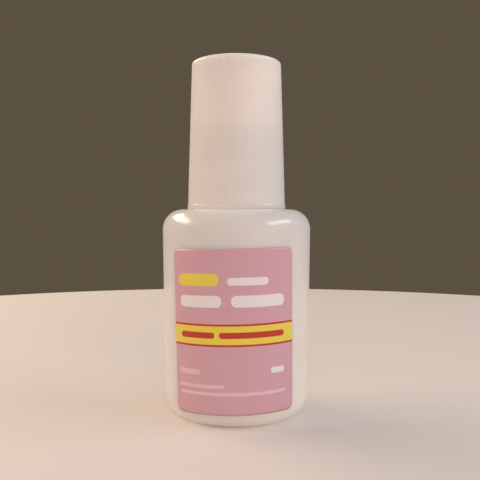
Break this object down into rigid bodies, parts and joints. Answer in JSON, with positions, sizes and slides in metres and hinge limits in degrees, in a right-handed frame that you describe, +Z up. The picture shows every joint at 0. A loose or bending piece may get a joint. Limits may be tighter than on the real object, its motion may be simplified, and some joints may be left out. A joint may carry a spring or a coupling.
{
  "type": "brush-on glue bottle",
  "caption": "Small round plastic bottle with a rounded shoulder, wrapped label and a tall tapered screw cap that carries a brush into the glue.",
  "frame": {"origin": "middle of the base, on the surface the bottle stands on", "axes": "+Z up along the bottle's axis, -Y towards the front of the label"},
  "size_m": [0.026, 0.0262, 0.0614],
  "materials": {
    "bottle_plastic": "milky translucent, satin",
    "cap_plastic": "off-white, satin, finely ribbed",
    "plug_plastic": "natural, waxy",
    "label_film": "printed film, satin",
    "clear_glue": "clear liquid",
    "washer_foam": "white foam",
    "rod_plastic": "natural, smooth",
    "staple_steel": "bright wire",
    "bristle_nylon": "fine white filaments"
  },
  "bodies": {
    "bottle_body": {"bottle": "bottle_plastic", "neck_plug": "plug_plastic", "front_label": "label_film", "glue_fill": "clear_glue"},
    "washer_body": {"seal_washer": "washer_foam"},
    "brush_body": {"brush_rod": "rod_plastic", "bristle_staple": "staple_steel", "bristles": "bristle_nylon"},
    "cap_body": {"cap": "cap_plastic"}
  },
  "joints": [
    {"name": "cap_lift", "type": "slide", "parent": "bottle_body", "child": "washer_body", "axis": [0, 0, 1], "range_m": [0, 0.054]},
    {"name": "thread_rise", "type": "slide", "parent": "washer_body", "child": "brush_body", "axis": [0, 0, 1], "range_m": [0, 0.00376]},
    {"name": "cap_turn", "type": "hinge", "parent": "brush_body", "child": "cap_body", "pos_m": [0, 0, 0.036], "axis": [0, 0, 1], "range_deg": [0, 540]}
  ],
  "couplings": [
    {"joint": "thread_rise", "follows": "cap_turn", "m_per_rad": 0.00039789}
  ]
}
